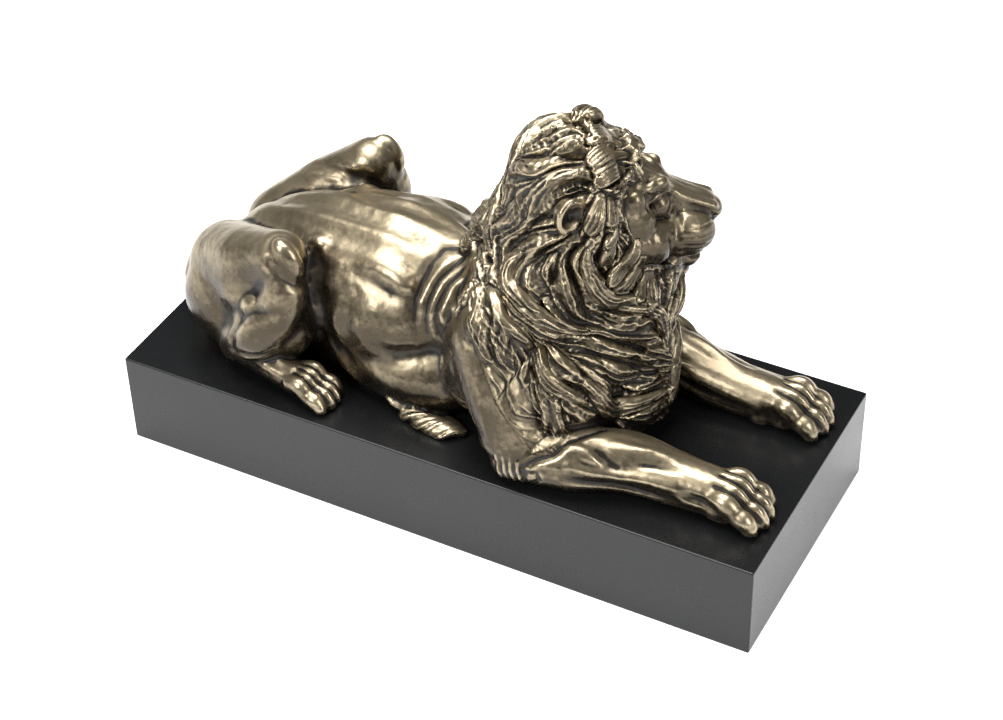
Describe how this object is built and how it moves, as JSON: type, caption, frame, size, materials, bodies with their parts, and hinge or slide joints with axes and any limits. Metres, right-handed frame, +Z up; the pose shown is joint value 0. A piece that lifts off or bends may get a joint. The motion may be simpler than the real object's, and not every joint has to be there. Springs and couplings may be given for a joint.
{
  "type": "reclining lion statue",
  "caption": "Maned lion lying with forelegs stretched out and head turned to its left, cast in bronze finish on a black rectangular block.",
  "frame": {"origin": "middle of the plinth's underside", "axes": "+X the way the lion's body faces, along the plinth's length; +Y the lion's left; +Z up"},
  "size_m": [0.29, 0.119, 0.1845],
  "materials": {
    "cast_bronze": "cold-cast bronze, dark patina in the hollows and rubbed to gold on the raised parts",
    "black_lacquer": "satin black lacquer"
  },
  "bodies": {
    "root": {"lion": "cast_bronze", "plinth": "black_lacquer"}
  },
  "joints": []
}
